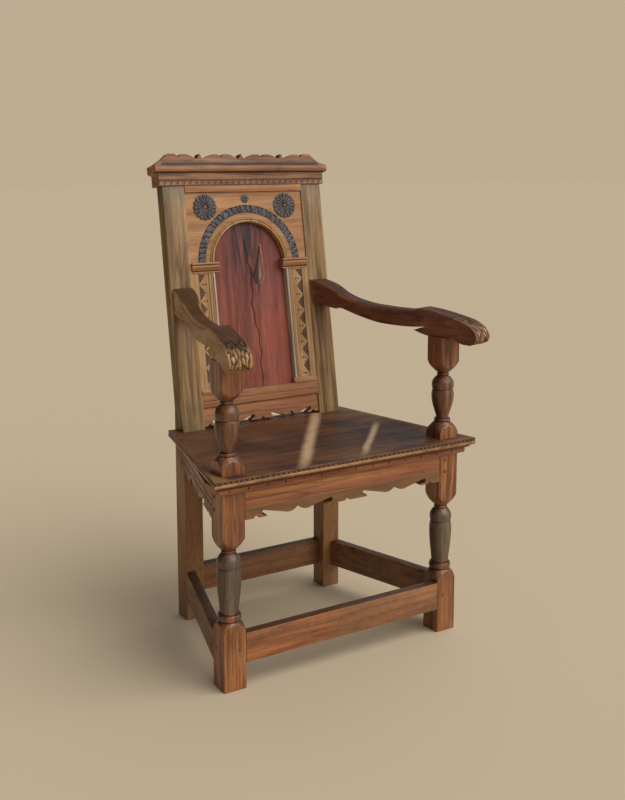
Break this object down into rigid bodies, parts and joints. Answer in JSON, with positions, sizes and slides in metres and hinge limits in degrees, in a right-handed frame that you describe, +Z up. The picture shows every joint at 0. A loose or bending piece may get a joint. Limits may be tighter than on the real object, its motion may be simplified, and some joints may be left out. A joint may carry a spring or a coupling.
{
  "type": "wainscot chair",
  "caption": "Joined oak armchair with turned front posts, pegged rails and stretchers, boarded seat, flared arms and a raked panelled back with a carved arcade and scalloped crest.",
  "frame": {"origin": "middle of the bounding box, on the floor under the feet", "axes": "+Z up; the chair faces -Y and its back leans towards +Y; +X to the right of someone looking at its front"},
  "size_m": [0.64, 0.5726, 1.0631],
  "materials": {
    "turned_oak": "old polished oak, turned, waxed and darkened in the hollows",
    "back_post_oak": "old oak, tan and olive, rubbed",
    "seat_oak": "dark waxed oak, worn pale in streaks",
    "rail_oak": "reddish oak, waxed",
    "stretcher_oak": "reddish oak, rubbed on its top edges",
    "moulding_oak": "reddish oak, carved with small nicks",
    "arm_oak": "oak polished by hands, dark on top",
    "crest_oak": "carved oak, worn on its edges",
    "panel_oak": "deep red-brown oak, polished",
    "arcade_oak": "orange-tan oak with darkened carving",
    "carving_oak": "blackened carving",
    "peg_oak": "end grain of oak pegs"
  },
  "bodies": {
    "root": {"front_post_left": "turned_oak", "front_post_right": "turned_oak", "rear_post_left": "back_post_oak", "rear_post_right": "back_post_oak", "seat_board": "seat_oak", "front_seat_rail": "rail_oak", "rear_seat_rail": "rail_oak", "side_seat_rail_left": "rail_oak", "side_seat_rail_right": "rail_oak", "front_stretcher": "stretcher_oak", "rear_stretcher": "stretcher_oak", "side_stretcher_left": "stretcher_oak", "side_stretcher_right": "stretcher_oak", "bed_moulding_front": "moulding_oak", "bed_moulding_left": "moulding_oak", "bed_moulding_right": "moulding_oak", "arm_left": "arm_oak", "arm_right": "arm_oak", "crest_rail": "crest_oak", "top_back_rail": "arcade_oak", "lower_back_rail": "arcade_oak", "back_panel": "panel_oak", "arcade_board": "arcade_oak", "arch_bead": "arcade_oak", "pilaster_left": "arcade_oak", "pilaster_right": "arcade_oak", "pilaster_base_left": "arcade_oak", "pilaster_base_right": "arcade_oak", "impost_left": "arcade_oak", "impost_right": "arcade_oak", "rosette_left": "carving_oak", "rosette_right": "carving_oak", "centre_boss": "carving_oak", "seat_rail_pegs": "peg_oak", "stretcher_pegs": "peg_oak", "back_pegs": "peg_oak", "arm_pegs": "peg_oak"}
  },
  "joints": []
}
